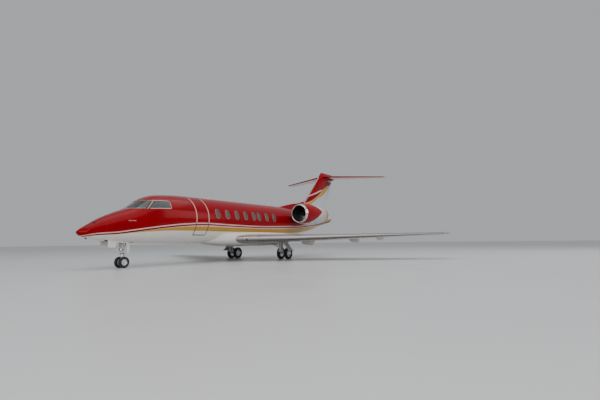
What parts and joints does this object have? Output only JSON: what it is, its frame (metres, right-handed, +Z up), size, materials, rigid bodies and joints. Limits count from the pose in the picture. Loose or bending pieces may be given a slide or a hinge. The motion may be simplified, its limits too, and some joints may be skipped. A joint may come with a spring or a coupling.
{
  "type": "twin-engine business jet on its landing gear",
  "caption": "Low-winged jet with a pointed nose, round cabin windows, rear side engines, a high T-shaped tail and wheeled legs, for carrying a few passengers.",
  "frame": {"origin": "On the floor under the middle of the jet's length, on its centre plane", "axes": "X points aft along the fuselage, Y to starboard along the span, Z up"},
  "size_m": [20.92, 19.9, 6.05],
  "materials": {
    "red_paint": "deep red gloss paint under clear coat",
    "white_paint": "off-white gloss paint",
    "bare_metal": "polished aluminium, painted pale grey on the wing's faces",
    "gear_metal": "light grey painted steel and aluminium",
    "dark_glass": "dark tinted glazing",
    "cabin_trim": "beige carpet and upholstery",
    "tyre_rubber": "black rubber"
  },
  "bodies": {
    "airframe": {"radome": "red_paint", "cockpit_shell": "red_paint", "cabin_shell": "red_paint", "aft_fuselage": "red_paint", "fin": "red_paint", "stabilizer": "red_paint", "nacelle_port": "red_paint", "nacelle_starboard": "red_paint", "pylon_port": "red_paint", "pylon_starboard": "red_paint", "belly_fairing": "white_paint", "tail_cone": "white_paint", "flap_port": "white_paint", "flap_starboard": "white_paint", "nose_gear_door_port": "white_paint", "nose_gear_door_starboard": "white_paint", "wing_port": "bare_metal", "wing_starboard": "bare_metal", "engine_core_port": "bare_metal", "engine_core_starboard": "bare_metal", "nose_gear_leg": "gear_metal", "main_gear_leg_port": "gear_metal", "main_gear_leg_starboard": "gear_metal", "windshield_port": "dark_glass", "windshield_starboard": "dark_glass", "cockpit_side_window_port": "dark_glass", "cockpit_side_window_starboard": "dark_glass", "window_band_port": "dark_glass", "window_band_starboard": "dark_glass", "cockpit_deck": "cabin_trim", "cabin_deck": "cabin_trim"},
    "airstair": {"airstair_door": "red_paint"},
    "nose_steering": {"nose_gear_fork": "gear_metal"},
    "nose_wheel_pair": {"nose_wheels": "bare_metal", "nose_tyre_port": "tyre_rubber", "nose_tyre_starboard": "tyre_rubber"},
    "main_wheel_pair_port": {"main_wheels_port": "bare_metal", "main_tyre_port_inner": "tyre_rubber", "main_tyre_port_outer": "tyre_rubber"},
    "main_wheel_pair_starboard": {"main_wheels_starboard": "bare_metal", "main_tyre_starboard_inner": "tyre_rubber", "main_tyre_starboard_outer": "tyre_rubber"},
    "fan_rotor_port": {"fan_port": "bare_metal"},
    "fan_rotor_starboard": {"fan_starboard": "bare_metal"},
    "rudder_body": {"rudder": "white_paint"},
    "elevator_body_port": {"elevator_port": "red_paint"},
    "elevator_body_starboard": {"elevator_starboard": "red_paint"},
    "aileron_body_port": {"aileron_port": "white_paint"},
    "aileron_body_starboard": {"aileron_starboard": "white_paint"}
  },
  "joints": [
    {"name": "airstair_hinge", "type": "hinge", "parent": "airframe", "child": "airstair", "pos_m": [-5.2675, -0.85653, 1.314], "axis": [1, 0, 0], "range_deg": [0, 130]},
    {"name": "nose_steering_turn", "type": "hinge", "parent": "airframe", "child": "nose_steering", "pos_m": [-8.57, 0, 0.7], "axis": [0, 0, 1], "range_deg": [-60, 60]},
    {"name": "nose_wheels_spin", "type": "hinge", "parent": "nose_steering", "child": "nose_wheel_pair", "pos_m": [-8.57, 0, 0.223], "axis": [0, 1, 0], "continuous": true},
    {"name": "main_wheels_port_spin", "type": "hinge", "parent": "airframe", "child": "main_wheel_pair_port", "pos_m": [0.29, -1.83, 0.327], "axis": [0, 1, 0], "continuous": true},
    {"name": "main_wheels_starboard_spin", "type": "hinge", "parent": "airframe", "child": "main_wheel_pair_starboard", "pos_m": [0.29, 1.83, 0.327], "axis": [0, 1, 0], "continuous": true},
    {"name": "fan_port_spin", "type": "hinge", "parent": "airframe", "child": "fan_rotor_port", "pos_m": [2.42, -1.8, 2.62], "axis": [1, 0, 0], "continuous": true},
    {"name": "fan_starboard_spin", "type": "hinge", "parent": "airframe", "child": "fan_rotor_starboard", "pos_m": [2.42, 1.8, 2.62], "axis": [1, 0, 0], "continuous": true},
    {"name": "rudder_turn", "type": "hinge", "parent": "airframe", "child": "rudder_body", "pos_m": [7.8967, 0, 4.31], "axis": [0.5681, 0, 0.823], "range_deg": [-25, 25]},
    {"name": "elevator_port_turn", "type": "hinge", "parent": "airframe", "child": "elevator_body_port", "pos_m": [9.72602, -2.175, 5.66566], "axis": [-0.2186, 0.9749, 0.0423], "range_deg": [-25, 15]},
    {"name": "elevator_starboard_turn", "type": "hinge", "parent": "airframe", "child": "elevator_body_starboard", "pos_m": [9.72602, 2.175, 5.66566], "axis": [0.2186, 0.9749, -0.0423], "range_deg": [-25, 15]},
    {"name": "aileron_port_turn", "type": "hinge", "parent": "airframe", "child": "aileron_body_port", "pos_m": [3.00422, -8.125, 1.26689], "axis": [-0.357, 0.9338, -0.0221], "range_deg": [-25, 20]},
    {"name": "aileron_starboard_turn", "type": "hinge", "parent": "airframe", "child": "aileron_body_starboard", "pos_m": [3.00422, 8.125, 1.26689], "axis": [0.357, 0.9338, 0.0221], "range_deg": [-25, 20]}
  ]
}
